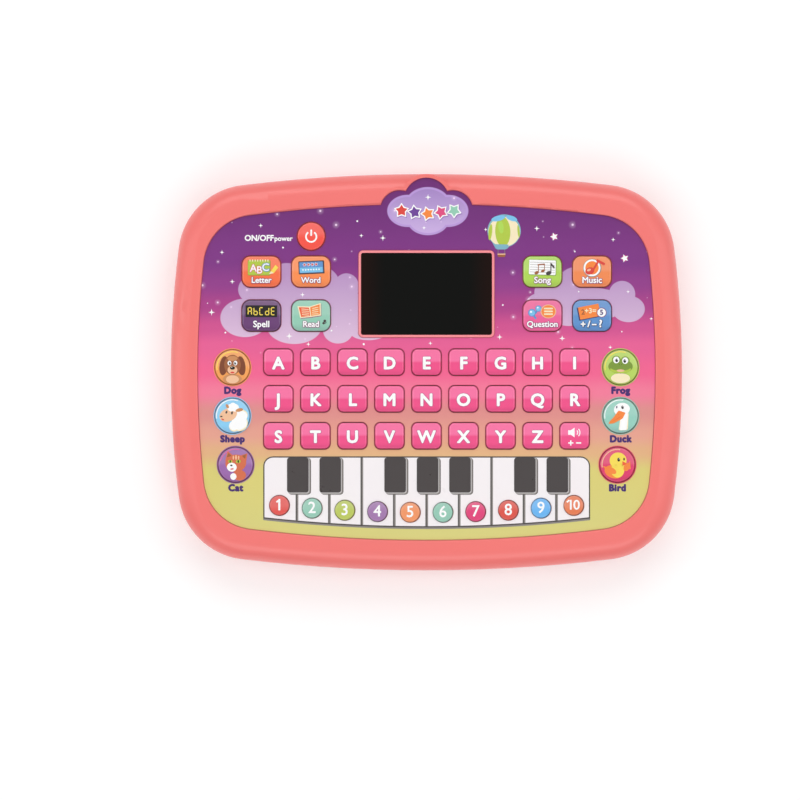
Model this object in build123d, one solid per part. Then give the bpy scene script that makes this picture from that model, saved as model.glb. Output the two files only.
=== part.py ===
"""Kids' toy tablet: two case shells, a printed face with 52 push keys, and the parts they hold.

Millimetres. The tablet lies on its back: +X to the right, +Y to the tablet's top edge, +Z out of the face.
The origin is the middle of the footprint, on the back face.
"""

from build123d import *
import math
import os

os.makedirs("parts", exist_ok=True)

# case
case_width = 230.0
case_height = 178.3
case_depth = 25.0
case_corner = 32.4
case_turns = (6.9, 7.3)  # degrees that the long top arc and the side arc turn through, each side of their middle
wall = 2.2
edge_round = 8.0
split_z = 12.0
floor_thick = 2.0
lip_height = 2.0
lip_thick = 1.3
lip_slack = 0.1

# recessed face plate
panel_half_width = 102.9
panel_half_height = 75.6
panel_corner = 23.6
panel_turns = (7.2, 6.3)
plate_top = 23.4
plate_bottom = 21.6
panel_edge_round = 0.8

# cloud-shaped notch in the top of the frame: (x, y, radius) of its lobes
cloud_lobes = [(0.0, 77.2, 10.3), (-11.9, 72.75, 9.05), (11.9, 72.75, 9.05)]
cloud_rim = 1.6
cloud_rim_top = 24.8

# display
window_centre = (0.0, 35.2)
window_opening = (58.9, 36.9)
window_corner = 1.0
window_rim = 1.1
window_rim_top = 24.4
window_fit = 0.2
lens_top = 23.8
lens_flange = 2.0
lens_flange_thick = 0.7
display_body = (56.0, 33.6, 1.6)

# keys
key_gap = 0.3
key_top = 24.9
flange_top = 21.3
flange_thick = 0.8
flange_reach = 0.9
key_skin = 1.3
stem_radius = 1.6
key_edge_round = 0.7

power_key = (-51.8, 61.1, 6.2)
function_size = (17.2, 13.8, 3.7)
function_keys = {
    "letter_key": (-74.2, 45.2),
    "word_key": (-51.9, 45.2),
    "spell_key": (-74.2, 25.4),
    "read_key": (-51.9, 25.4),
    "song_key": (52.1, 45.2),
    "music_key": (74.4, 45.2),
    "question_key": (52.1, 25.4),
    "maths_key": (74.4, 25.4),
}
letter_size = (12.9, 11.6, 2.4)
letter_pitch = 16.64
letter_rows = {4.5: "abcdefghi", -12.0: "jklmnopqr", -28.6: "stuvwxyz"}
animal_radius = 7.8
animal_keys = {
    "dog_button": (-87.2, 2.2),
    "sheep_button": (-87.2, -19.6),
    "cat_button": (-85.8, -41.6),
    "frog_button": (87.2, 2.2),
    "duck_button": (87.2, -19.6),
    "bird_button": (85.8, -41.6),
}
number_count = 10
number_pitch = 14.7
number_radius = 4.4
number_line_y = -63.0
number_arc = 700.0  # radius of the gentle curve that the number keys follow

# battery bay: three AA cells side by side
cell_radius = 7.25
cell_length = 49.2
cell_nub = (2.75, 1.3)
cell_pitch = 15.3
cell_count = 3
bay_centre = (0.0, 8.0)
bay_clear = (46.4, 58.4)
bay_wall = 1.8
bay_pad = 5.0
bay_pad_top = 4.4
bay_roof = (16.75, 17.75)
door_size = (52.0, 78.0, 4.0)
door_z = (0.3, 1.9)
door_gap = 0.35
door_ledge = 2.2
door_screw_y = 34.5
door_rib_height = 1.2

# fasteners
boss_radius = 3.7
screw_radius = 1.5
screw_head = (2.8, 1.6)
screw_head_z = 4.0
screw_length = 13.5
screw_slack = 0.05
head_well_radius = 3.3
boss_inset = 11.6
corner_boss = (94.0, 67.0)
post_radius = 2.6
post_places = [(-36.6, 35.5), (36.6, 35.5), (-91.5, 21.0), (91.5, 21.0), (-58.0, -47.5), (58.0, -47.5), (0.0, -47.5)]
post_screw = (0.9, 3.2)
post_head = (1.9, 1.1)

# circuit board
board_inset = 16.5
board_z = (18.0, 19.0)
dome_radius = 2.6
dome_height = 0.4

# speaker
speaker_centre = (0.0, -56.0)
speaker_radius = 18.0
speaker_depth = 6.5
speaker_fit = 0.3
grille_slot = 2.0
grille_pitch = 4.0
grille_count = 7


def lens_outline(half_width, half_height, corner_radius, turns):
    """Face with four equal quarters, each of three tangent arcs: a long top arc, the corner and a side arc."""
    top_turn, side_turn = turns
    h1 = math.radians(top_turn)
    h2 = math.radians(90 - side_turn)
    across = half_width - corner_radius * (math.sin(h2) - math.sin(h1))
    down = half_height - corner_radius * (math.cos(h1) - math.cos(h2))
    det = math.sin(h1) * math.cos(h2) - (1 - math.sin(h2)) * (1 - math.cos(h1))
    top_radius = (across * math.cos(h2) - (1 - math.sin(h2)) * down) / det
    side_radius = (math.sin(h1) * down - (1 - math.cos(h1)) * across) / det
    place, heading, quarter = (0, half_height), (1, 0), Curve()
    stretches = [(top_radius, top_turn, 8), (corner_radius, 90 - top_turn - side_turn, 3), (side_radius, side_turn, 6)]
    for radius, turn, pieces in stretches:
        for piece in range(pieces):  # each arc is drawn in short pieces of the same curve
            arc = JernArc(place, heading, radius, -turn / pieces)
            place, heading = arc @ 1, arc % 1
            quarter += arc
    half = quarter + mirror(quarter, about=Plane.YZ)
    return make_face(half + mirror(half, about=Plane.XZ))


def case_outline(inset=0.0):
    """The case's outline, or a curve parallel to it inside it."""
    return lens_outline(case_width / 2 - inset, case_height / 2 - inset, case_corner - inset, case_turns)


def cloud_outline(grow=0.0):
    cloud = Sketch()
    for x, y, radius in cloud_lobes:
        cloud += Pos(x, y) * Circle(radius + grow)
    return cloud


def rounded(width, height, radius, grow=0.0):
    return RectangleRounded(width + 2 * grow, height + 2 * grow, radius + grow)


def slab(face, low, high):
    """A face pulled from one height to another."""
    return extrude(Pos(0, 0, low) * face, high - low)


def rod(x, y, radius, low, high):
    return Pos(x, y, low) * Cylinder(radius, high - low, align=(Align.CENTER, Align.CENTER, Align.MIN))


def edges_at(part, z):
    return part.edges().filter_by(lambda edge: abs(edge.bounding_box().min.Z - z) < 1e-4
                                  and abs(edge.bounding_box().max.Z - z) < 1e-4)


def boss_places():
    """The case screws: one near each corner, and two along the top, the bottom and each side."""
    cx, cy = corner_boss
    corners = [(sx * cx, sy * cy) for sx in (-1, 1) for sy in (-1, 1)]
    sides = [(sx * (case_width / 2 - boss_inset), 0.0) for sx in (-1, 1)]
    ends = [(sx * 40.0, sy * (case_height / 2 - boss_inset - 1.2)) for sx in (-1, 1) for sy in (-1, 1)]
    return corners + sides + ends


def letter_places():
    """Name and centre of each letter key; the last place of the last row is the volume key."""
    places = {}
    for y, letters in letter_rows.items():
        names = ["key_" + letter for letter in letters]
        if len(names) < 9:
            names.append("volume_key")
        for column, name in enumerate(names):
            places[name] = ((column - 4) * letter_pitch, y)
    return places


def number_places():
    places = {}
    for number in range(1, number_count + 1):
        x = (number - (number_count + 1) / 2) * number_pitch
        places[f"number_key_{number}"] = (x, number_line_y + x * x / (2 * number_arc))
    return places


def key_plan():
    """Every key: its outline, its retaining flange and its centre. Rectangular flanges reach out sideways only."""
    plan = {}
    x, y, radius = power_key
    plan["power_button"] = (Circle(radius), Circle(radius + flange_reach), (x, y))
    groups = [(function_keys, function_size), (letter_places(), letter_size)]
    for places, (width, height, corner) in groups:
        outline = RectangleRounded(width, height, corner)
        flange = RectangleRounded(width + 2 * flange_reach, height, corner)
        for name, centre in places.items():
            plan[name] = (outline, flange, centre)
    for places, radius in ((animal_keys, animal_radius), (number_places(), number_radius)):
        for name, centre in places.items():
            plan[name] = (Circle(radius), Circle(radius + flange_reach), centre)
    return plan


def make_key(outline, flange):
    """A hollow cap with a flange under the plate and a stem that presses its dome."""
    flange_bottom = flange_top - flange_thick
    cap = slab(outline, flange_bottom, key_top)
    cap = fillet(edges_at(cap, key_top), key_edge_round)
    key = cap + slab(flange, flange_bottom, flange_top)
    key -= slab(offset(outline, -key_skin), flange_bottom, key_top - key_skin)
    return key + rod(0, 0, stem_radius, flange_bottom, key_top - key_skin)


def make_front_shell(plan):
    shell = slab(case_outline(), split_z, case_depth)
    shell = fillet(edges_at(shell, case_depth), edge_round)
    shell += slab(cloud_outline(cloud_rim), plate_bottom, cloud_rim_top)
    cavity = slab(case_outline(wall), split_z, plate_bottom)
    shell -= fillet(edges_at(cavity, plate_bottom), edge_round - wall)
    recess = lens_outline(panel_half_width, panel_half_height, panel_corner, panel_turns)
    shell -= slab(recess + cloud_outline(), plate_top, case_depth)
    shell = fillet(edges_at(shell, case_depth), panel_edge_round)

    window = Pos(*window_centre) * rounded(*window_opening, window_corner)
    rim = Pos(*window_centre) * rounded(*window_opening, window_corner, window_rim)
    raised = slab(rim, plate_bottom, window_rim_top)
    shell += fillet(edges_at(raised, window_rim_top), 0.4)
    shell -= slab(window, plate_bottom - 1, case_depth)
    holes = [Pos(x, y) * offset(outline, key_gap) for outline, flange, (x, y) in plan.values()]
    shell -= [slab(hole, plate_bottom - 1, case_depth) for hole in holes]

    for x, y in boss_places():
        shell += rod(x, y, boss_radius, split_z, plate_bottom + 0.5)
        shell -= rod(x, y, screw_radius + screw_slack, split_z, plate_bottom - 1.5)
    for x, y in post_places:
        shell += rod(x, y, post_radius, board_z[1], plate_bottom + 0.5)
        shell -= rod(x, y, post_screw[0] + screw_slack, board_z[1], plate_bottom)
    return shell


def make_rear_shell():
    shell = slab(case_outline(), 0, split_z)
    shell = fillet(edges_at(shell, 0), edge_round)
    cavity = slab(case_outline(wall), floor_thick, split_z)
    shell -= fillet(edges_at(cavity, floor_thick), edge_round - floor_thick)
    lip_inside = case_outline(wall + lip_slack + lip_thick)
    shell += slab(case_outline(wall - 0.5) - lip_inside, split_z - 3, split_z)
    shell += slab(case_outline(wall + lip_slack) - lip_inside, split_z, split_z + lip_height)

    bay_x, bay_y = bay_centre
    bay_place = Pos(bay_x, bay_y)
    door_plan = bay_place * rounded(*door_size, door_gap)
    shell += slab(bay_place * rounded(*door_size, bay_pad), 0, bay_pad_top)
    shell += slab(bay_place * RectangleRounded(*[side + 2 * bay_wall for side in bay_clear], 2.0), 1, bay_roof[1])
    shell -= slab(door_plan, 0, door_ledge)
    shell -= slab(bay_place * RectangleRounded(*bay_clear, 0.6), door_ledge, bay_roof[0])
    for side in (-1, 1):
        screw_y = bay_y + side * door_screw_y
        shell += rod(bay_x, screw_y, 3.2, door_ledge, 11.0)
        shell -= rod(bay_x, screw_y, 1.8, door_ledge, 10.0)

    for x, y in boss_places():
        shell += rod(x, y, boss_radius + 0.6, 1.0, split_z)
        shell -= rod(x, y, head_well_radius, 0, screw_head_z + screw_head[1])
        shell -= rod(x, y, screw_radius + 0.2, 0, split_z)

    grille_x, grille_y = speaker_centre
    reach = speaker_radius - 3
    for index in range(grille_count):
        offset_y = (index - (grille_count - 1) / 2) * grille_pitch
        length = 2 * math.sqrt(reach ** 2 - offset_y ** 2)
        slot = Pos(grille_x, grille_y + offset_y) * SlotOverall(length, grille_slot)
        shell -= slab(slot, 0, floor_thick)
    ring = Circle(speaker_radius + speaker_fit + 1.4) - Circle(speaker_radius + speaker_fit)
    shell += slab(Pos(grille_x, grille_y) * ring, floor_thick - 0.5, floor_thick + 4)
    return shell


def make_display_window():
    opening = Pos(*window_centre) * rounded(*window_opening, window_corner, -window_fit)
    flange = Pos(*window_centre) * rounded(*window_opening, window_corner, lens_flange)
    lens = slab(opening, plate_bottom - lens_flange_thick, lens_top)
    return lens + slab(flange, plate_bottom - lens_flange_thick, plate_bottom)


def make_main_board(plan):
    """The board, its snap domes, the display module and the parts on its back, each a separate solid."""
    low, high = board_z
    board = slab(case_outline(board_inset), low, high)
    for x, y in post_places:
        board -= rod(x, y, post_screw[0] + 0.2, low, high)
    solids = [board]
    for outline, flange, (x, y) in plan.values():
        solids.append(rod(x, y, dome_radius, high, high + dome_height))
    width, height, thick = display_body
    solids.append(slab(Pos(*window_centre) * RectangleRounded(width, height, 0.8), high, high + thick))
    chip = rod(62, -22, 8.0, low - 1.6, low)
    solids.append(fillet(edges_at(chip, low - 1.6), 1.4))
    solids.append(slab(Pos(48, 5) * Rectangle(10, 6), low - 1.7, low))
    solids.append(rod(44, -32, 3.2, low - 7, low))
    solids.append(rod(53, -36, 2.5, low - 5, low))
    solids.append(slab(Pos(-50, -34) * Rectangle(9.8, 4.8), low - 6, low))
    solids.append(slab(Pos(-50, 2) * Rectangle(7.3, 4.8), low - 5, low))
    return solids


def make_speaker():
    """Frame and magnet at the back, with the cone facing the grille."""
    base = floor_thick
    frame = rod(0, 0, speaker_radius, base, base + 1.8)
    frame += rod(0, 0, speaker_radius - 3.5, base + 1.8, base + 3.6)
    frame -= rod(0, 0, speaker_radius - 2, base, base + 1.0)
    magnet = rod(0, 0, speaker_radius * 0.5, base + 3.6, base + speaker_depth)
    cone = rod(0, 0, speaker_radius - 2.4, base + 0.5, base + 1.0)
    return [Pos(*speaker_centre) * solid for solid in (frame, magnet, cone)]


def screw(x, y, low, length, radius, head):
    """A pan-head screw that points up, with a cross recess in its head."""
    head_radius, head_height = head
    solid = rod(x, y, head_radius, low, low + head_height)
    solid = fillet(edges_at(solid, low), 0.35 * head_height)
    solid += rod(x, y, radius, low + head_height, low + head_height + length)
    arm = Rectangle(head_radius * 1.1, head_radius * 0.3)
    cross = arm + Rot(0, 0, 90) * arm
    return solid - slab(Pos(x, y) * cross, low, low + 0.6 * head_height)


def make_screws():
    solids = [screw(x, y, screw_head_z, screw_length, screw_radius, screw_head) for x, y in boss_places()]
    radius, length = post_screw
    for x, y in post_places:
        solids.append(screw(x, y, board_z[0] - post_head[1], length, radius, post_head))
    return solids


def make_batteries():
    """Cells side by side, each the other way round to its neighbour."""
    nub_radius, nub_length = cell_nub
    centre_z = door_ledge + cell_radius
    solids = []
    for index in range(cell_count):
        cell = Cylinder(cell_radius, cell_length)
        cell = fillet(cell.edges().filter_by(GeomType.CIRCLE), 0.6)
        cell += Pos(0, 0, (cell_length + nub_length) / 2) * Cylinder(nub_radius, nub_length)
        x = (index - (cell_count - 1) / 2) * cell_pitch
        turn = 90 if index % 2 else -90
        solids.append(Pos(bay_centre[0] + x, bay_centre[1], centre_z) * Rot(turn, 0, 0) * cell)
    return solids


def make_battery_door():
    """A flat plate with two ribs between the cells, and its two captive screws."""
    low, high = door_z
    x, y = bay_centre
    door = slab(Pos(x, y) * RectangleRounded(*door_size), low, high)
    door = fillet(edges_at(door, low), 0.4)
    for side in (-0.5, 0.5):
        rib = Pos(x + side * cell_pitch, y) * RectangleRounded(1.6, 50, 0.7)
        door += slab(rib, high, high + door_rib_height)
    for side in (-1, 1):
        grip = Pos(x, y + side * 8) * SlotOverall(18, 1.6)
        door -= slab(grip, low, low + 0.5)
    solids = []
    for side in (-1, 1):
        screw_y = y + side * door_screw_y
        door -= rod(x, screw_y, 2.75, low, low + 0.9)
        door -= rod(x, screw_y, 1.45, low, high)
        solids.append(screw(x, screw_y, low, 8.0, 1.4, (2.6, 0.85)))
    return [door] + solids


def write(name, solids):
    """One STEP file per node; a node of several pieces keeps them as separate solids."""
    pieces = solids if isinstance(solids, list) else [solids]
    bodies = [body for piece in pieces for body in piece.solids()]
    shape = bodies[0] if len(bodies) == 1 else Compound(children=bodies)
    shape.label = name
    export_step(shape, f"parts/{name}.step")


plan = key_plan()
write("front_shell", make_front_shell(plan))
write("rear_shell", make_rear_shell())
write("display_window", make_display_window())
write("main_board", make_main_board(plan))
write("speaker", make_speaker())
write("batteries", make_batteries())
write("battery_door", make_battery_door())
write("screws", make_screws())
for name, (outline, flange, (x, y)) in plan.items():
    write(name, Pos(x, y) * make_key(outline, flange))
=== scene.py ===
import bmesh
import bpy
import math
from mathutils import Matrix, Vector


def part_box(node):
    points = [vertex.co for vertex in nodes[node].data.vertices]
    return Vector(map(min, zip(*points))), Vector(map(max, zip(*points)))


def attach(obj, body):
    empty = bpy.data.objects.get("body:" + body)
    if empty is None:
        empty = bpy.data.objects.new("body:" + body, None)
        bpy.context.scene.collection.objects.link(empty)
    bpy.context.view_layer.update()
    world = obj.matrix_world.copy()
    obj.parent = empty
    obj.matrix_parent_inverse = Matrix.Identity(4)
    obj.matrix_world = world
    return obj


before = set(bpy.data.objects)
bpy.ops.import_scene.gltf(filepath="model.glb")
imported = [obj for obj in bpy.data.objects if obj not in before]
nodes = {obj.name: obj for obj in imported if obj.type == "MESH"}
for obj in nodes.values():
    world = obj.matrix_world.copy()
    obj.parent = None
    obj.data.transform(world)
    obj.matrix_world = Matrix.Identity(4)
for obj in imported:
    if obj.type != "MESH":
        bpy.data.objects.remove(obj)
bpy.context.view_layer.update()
mm = 0.001
print("frame loaded:", len(nodes), "nodes")

# colours as a maker would give them, in hex
paint = {
    # the pale letter pink is not a second plastic: it is the painted highlight of the pink keys
    "coral": "F67874", "seamRed": "9C3F3B", "rimHighlightPink": "FB9298", "letterPink": "F4528C", "letterPale": "FB76A7",
    "letterOrange": "FC7447", "wordOrange": "FD9152", "purple": "6B3F75", "mint": "96CEB7", "lime": "B2DA57",
    "musicOrange": "F68E55", "pink": "F1669D", "blue": "6094D0",
    "dogOrange": "F8A65A", "sheepBlue": "8ED2F7", "catPurple": "9E6AAE", "frogLime": "BAD862", "duckMint": "98D2C2",
    "birdMagenta": "E43F70", "powerRed": "FA5446",
    "oneRed": "E65650", "twoMint": "98CCB8", "threeLime": "BFCC60", "fourLilac": "A67CB0", "fiveOrange": "F59A68",
    "sevenPink": "E4447C", "eightRed": "E0564A", "nineBlue": "6CB8F5", "tenOrange": "EA7D50",
    "orange": "F98A3E", "vermilion": "F2603A", "magenta": "E24A80", "red": "E0453C", "leaf": "B4CC46", "sky": "7CC4EC",
    "white": "FFFFFF", "ivory": "F8F2F4", "cream": "FAEBC4", "ink": "464040", "darkPurple": "43246F", "plum": "8C3F74",
    "rose": "BE4C86", "grey": "8C8783", "silver": "C9C4C4", "brown": "A06038", "umber": "7E4226", "tan": "D0905C",
    "peach": "F4C39C", "yellow": "FBDF58", "black": "16120F", "navy": "2B3560", "forest": "7D9A38", "fox": "D9704C",
    "lilac": "9C78BE", "starPurple": "6E3F9A", "balloonBlue": "7FB4C8",
}


def linear(hexText):
    values = [int(hexText[i:i + 2], 16) / 255 for i in (0, 2, 4)]
    return [v / 12.92 if v <= 0.04045 else ((v + 0.055) / 1.055) ** 2.4 for v in values] + [1.0]


def makeGroup(name, inputs, outputs):
    group = bpy.data.node_groups.new(name, "ShaderNodeTree")
    for label, kind, value in inputs:
        socket = group.interface.new_socket(name=label, in_out="INPUT", socket_type="NodeSocket" + kind)
        if value is not None:
            socket.default_value = value
    for label, kind in outputs:
        group.interface.new_socket(name=label, in_out="OUTPUT", socket_type="NodeSocket" + kind)
    start = group.nodes.new("NodeGroupInput")
    end = group.nodes.new("NodeGroupOutput")
    return group, start, end


def addNode(tree, kind, values=(), **settings):
    node = tree.nodes.new("ShaderNode" + kind)
    for key, value in settings.items():
        setattr(node, key, value)
    for key, value in dict(values).items():
        node.inputs[key].default_value = value
    return node


def addMath(tree, operation, first, second=None, clamp=False):
    node = addNode(tree, "Math", operation=operation, use_clamp=clamp)
    for index, value in enumerate((first, second)):
        if value is None:
            continue
        if isinstance(value, (int, float)):
            node.inputs[index].default_value = value
        else:
            tree.links.new(value, node.inputs[index])
    return node.outputs[0]


def addMix(tree, factor, first, second, blend="MIX"):
    node = addNode(tree, "Mix", data_type="RGBA", blend_type=blend)
    for index, value in ((0, factor), (6, first), (7, second)):
        if isinstance(value, (int, float, list, tuple)):
            node.inputs[index].default_value = value
        else:
            tree.links.new(value, node.inputs[index])
    return node.outputs[2]


# moulded plastic: faint cloudiness in the colour, uneven gloss and a very fine orange-peel skin
grain = {"cloud": 26.0, "peel": 1400.0, "scuff": 160.0, "wear": 0.16, "depth": 0.00002}
mouldedSkin, start, end = makeGroup(
    "mouldedSkin",
    [("Colour", "Color", (0.5, 0.5, 0.5, 1)), ("Roughness", "Float", 0.25), ("Peel", "Float", 0.1),
     ("Vary", "Float", 0.06)],
    [("Colour", "Color"), ("Roughness", "Float"), ("Normal", "Vector")],
)
place = addNode(mouldedSkin, "TexCoord").outputs["Object"]
cloudy = addNode(mouldedSkin, "TexNoise", {"Scale": grain["cloud"], "Detail": 3.0})
fine = addNode(mouldedSkin, "TexNoise", {"Scale": grain["peel"], "Detail": 2.0})
scuff = addNode(mouldedSkin, "TexNoise", {"Scale": grain["scuff"], "Detail": 6.0, "Roughness": 0.7})
for noise in (cloudy, fine, scuff):
    mouldedSkin.links.new(place, noise.inputs["Vector"])
swing = addMath(mouldedSkin, "SUBTRACT", cloudy.outputs["Fac"], 0.5)
swing = addMath(mouldedSkin, "MULTIPLY", swing, start.outputs["Vary"])
level = addMath(mouldedSkin, "ADD", swing, 1.0)
tone = addNode(mouldedSkin, "HueSaturation")
mouldedSkin.links.new(start.outputs["Colour"], tone.inputs["Color"])
mouldedSkin.links.new(level, tone.inputs["Value"])
mouldedSkin.links.new(tone.outputs["Color"], end.inputs["Colour"])
wear = addMath(mouldedSkin, "SUBTRACT", scuff.outputs["Fac"], 0.5)
wear = addMath(mouldedSkin, "MULTIPLY", wear, grain["wear"])
wear = addMath(mouldedSkin, "ADD", wear, start.outputs["Roughness"], clamp=True)
mouldedSkin.links.new(wear, end.inputs["Roughness"])
bump = addNode(mouldedSkin, "Bump", {"Distance": grain["depth"]})
mouldedSkin.links.new(start.outputs["Peel"], bump.inputs["Strength"])
mouldedSkin.links.new(fine.outputs["Fac"], bump.inputs["Height"])
mouldedSkin.links.new(bump.outputs["Normal"], end.inputs["Normal"])

# painted light down a key: a painted highlight above its middle and painted shade along its foot, repeated for each
# row of keys
capPaintedLight = {"upper": (0.47, 0.56), "lower": (0.34, 0.14), "depth": 0.6, "paintedShade": (0.72, 0.62, 0.7, 1)}
paintedKeyLight, start, end = makeGroup(
    "paintedKeyLight",
    [("Colour", "Color", (0.5, 0.5, 0.5, 1)), ("Pale", "Color", (1, 1, 1, 1)), ("Row", "Float", 0.0),
     ("Pitch", "Float", 0.02)],
    [("Colour", "Color")],
)
place = addNode(paintedKeyLight, "TexCoord").outputs["Object"]
axes = addNode(paintedKeyLight, "SeparateXYZ")
paintedKeyLight.links.new(place, axes.inputs[0])
height = addMath(paintedKeyLight, "SUBTRACT", axes.outputs["Y"], start.outputs["Row"])
height = addMath(paintedKeyLight, "DIVIDE", height, start.outputs["Pitch"])
height = addMath(paintedKeyLight, "FRACT", addMath(paintedKeyLight, "ADD", height, 0.5))
masks = []
for side, most in (("upper", 1.0), ("lower", capPaintedLight["depth"])):
    mask = addNode(paintedKeyLight, "MapRange", {"To Max": most}, interpolation_type="SMOOTHSTEP")
    mask.inputs["From Min"].default_value, mask.inputs["From Max"].default_value = capPaintedLight[side]
    paintedKeyLight.links.new(height, mask.inputs["Value"])
    masks.append(mask.outputs[0])
# painted highlight mixed into the upper part, then painted shade multiplied in along the foot
glow = addMix(paintedKeyLight, masks[0], start.outputs["Colour"], start.outputs["Pale"])
paintedShade = addMix(paintedKeyLight, 1.0, start.outputs["Colour"], capPaintedLight["paintedShade"], "MULTIPLY")
glow = addMix(paintedKeyLight, masks[1], glow, paintedShade)
paintedKeyLight.links.new(glow, end.inputs["Colour"])

# one soft-edged disc or oval of a printed cloud
printedOval, start, end = makeGroup(
    "printedOval",
    [("X", "Float", 0.0), ("Y", "Float", 0.0), ("Wide", "Float", 0.01), ("High", "Float", 0.01),
     ("Inset", "Float", 0.0)],
    [("Mask", "Float")],
)
place = addNode(printedOval, "TexCoord").outputs["Object"]
axes = addNode(printedOval, "SeparateXYZ")
printedOval.links.new(place, axes.inputs[0])
reach = []
for side, size in (("X", "Wide"), ("Y", "High")):
    away = addMath(printedOval, "SUBTRACT", axes.outputs[side], start.outputs[side])
    span = addMath(printedOval, "SUBTRACT", start.outputs[size], start.outputs["Inset"])
    share = addMath(printedOval, "ABSOLUTE", addMath(printedOval, "DIVIDE", away, span))
    reach.append(addMath(printedOval, "POWER", share, 2.0))
ringed = addMath(printedOval, "ADD", *reach)
soft = addNode(printedOval, "MapRange", {"From Min": 1.04, "From Max": 0.97, "To Min": 0.0, "To Max": 1.0})
printedOval.links.new(ringed, soft.inputs["Value"])
printedOval.links.new(soft.outputs[0], end.inputs["Mask"])


def useGroup(tree, group, **values):
    node = tree.nodes.new("ShaderNodeGroup")
    node.node_tree = group
    for key, value in values.items():
        if isinstance(value, bpy.types.NodeSocket):
            tree.links.new(value, node.inputs[key])
        else:
            node.inputs[key].default_value = value
    return node


def startMaterial(name):
    material = bpy.data.materials.new(name)
    material.use_nodes = True
    return material, material.node_tree, material.node_tree.nodes["Principled BSDF"]


def moulded(name, colour, rough=0.22, peel=0.12, vary=0.06, coat=0.0, metal=0.0, source=None):
    material, tree, shader = startMaterial(name)
    skin = useGroup(tree, mouldedSkin, Roughness=rough, Peel=peel, Vary=vary)
    if source is None:
        skin.inputs["Colour"].default_value = colour
    else:
        tree.links.new(source(tree), skin.inputs["Colour"])
    tree.links.new(skin.outputs["Colour"], shader.inputs["Base Color"])
    tree.links.new(skin.outputs["Roughness"], shader.inputs["Roughness"])
    tree.links.new(skin.outputs["Normal"], shader.inputs["Normal"])
    shader.inputs["Metallic"].default_value = metal
    shader.inputs["Coat Weight"].default_value = coat
    shader.inputs["Coat Roughness"].default_value = 0.06
    return material


def addWhite(colour, share):
    return [value + (1 - value) * share for value in colour[:3]] + [1.0]


def keyMaterial(name, colour, row, pitch):
    # the paler colour mixed into each key's upper part is a painted highlight
    highlight = linear(paint["letterPale"]) if colour == "letterPink" else addWhite(linear(paint[colour]), 0.07)

    def source(tree):
        glowing = useGroup(tree, paintedKeyLight, Colour=linear(paint[colour]), Pale=highlight, Row=row * mm, Pitch=pitch * mm)
        return glowing.outputs["Colour"]
    return moulded(name, None, rough=0.22, peel=0.08, vary=0.04, coat=0.35, source=source)


film = {
    "thick": 0.3, "inset": 0.05, "gapShadeWidth": 0.2,
    # a darker ring printed round each key's hole: painted shade of the gap and of the key's side
    "gapShadeInk": "A02C58", "gapShadeShare": 0.75,
    # height up the face in mm, and the printed colour there
    "ramp": [(-78, "D9D381"), (-45, "DDD279"), (-36, "E5B485"), (-28, "E8A390"), (-18, "E0908C"), (-9, "F57D9C"),
             (0, "F46493"), (12, "E85F96"), (20, "D35090"), (30, "AC3D89"), (40, "91378A"), (50, "7E2E84"),
             (78, "6D2475")],
    # the clouds' and the badge's inks at foot and top, with those heights in mm
    "cloudInks": ("DFC6E2", "BE9ACA"), "cloudSpan": (14, 44), "cloudShare": 0.92,
    "badgeInks": ("CDB2E4", "A788C8"), "badgeSpan": (62, 82), "badgeEdge": "BC9ADB", "badgeBorder": 1.0,
    # each oval of the clouds: centre and half-size in mm
    "clouds": [(-79.2, 37.2, 5.4, 5.6), (-81.6, 24.4, 11.0, 8.6), (-62.8, 38.2, 10.6, 10.8), (-59.4, 21.0, 12.4, 8.3),
               (-47.3, 38.0, 8.6, 9.4), (-36.0, 38.2, 5.7, 6.2), (-39.7, 18.9, 6.8, 6.0), (-26.0, 18.2, 8.6, 3.8),
               (-58.3, 31.0, 24.6, 11.5), (-37.0, 28.0, 8.6, 10.5),
               (50.6, 27.6, 6.9, 7.9), (55.8, 35.6, 7.3, 7.2), (67.5, 38.0, 9.4, 9.3), (87.9, 35.0, 5.9, 6.0),
               (90.8, 28.4, 7.3, 5.9), (63.8, 26.6, 7.8, 5.8), (71.2, 30.6, 19.6, 7.6)],
    "badge": [(0.6, 74.6, 10.4, 8.6), (-8.4, 72.5, 9.2, 7.2), (9.6, 72.5, 9.2, 7.2), (0.7, 68.6, 9.4, 7.0)],
}
dust = {"scale": 150.0, "small": 0.02, "vary": 0.09, "bright": 0.85, "halo": 0.16, "chosen": 0.8, "from": (4, 16),
        "ink": "FFE6FF"}


def cloudMask(tree, ovals, inset):
    mask = None
    for x, y, wide, high in ovals:
        blob = useGroup(tree, printedOval, X=x * mm, Y=y * mm, Wide=wide * mm, High=high * mm, Inset=inset * mm)
        out = blob.outputs["Mask"]
        mask = out if mask is None else addMath(tree, "MAXIMUM", mask, out)
    return mask


def climbMask(tree, height, span):
    climb = addNode(tree, "MapRange", {"From Min": span[0] * mm, "From Max": span[1] * mm})
    tree.links.new(height, climb.inputs["Value"])
    return climb.outputs[0]


def cloudInk(tree, height, span, inks):
    return addMix(tree, climbMask(tree, height, span), linear(inks[0]), linear(inks[1]))


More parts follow.
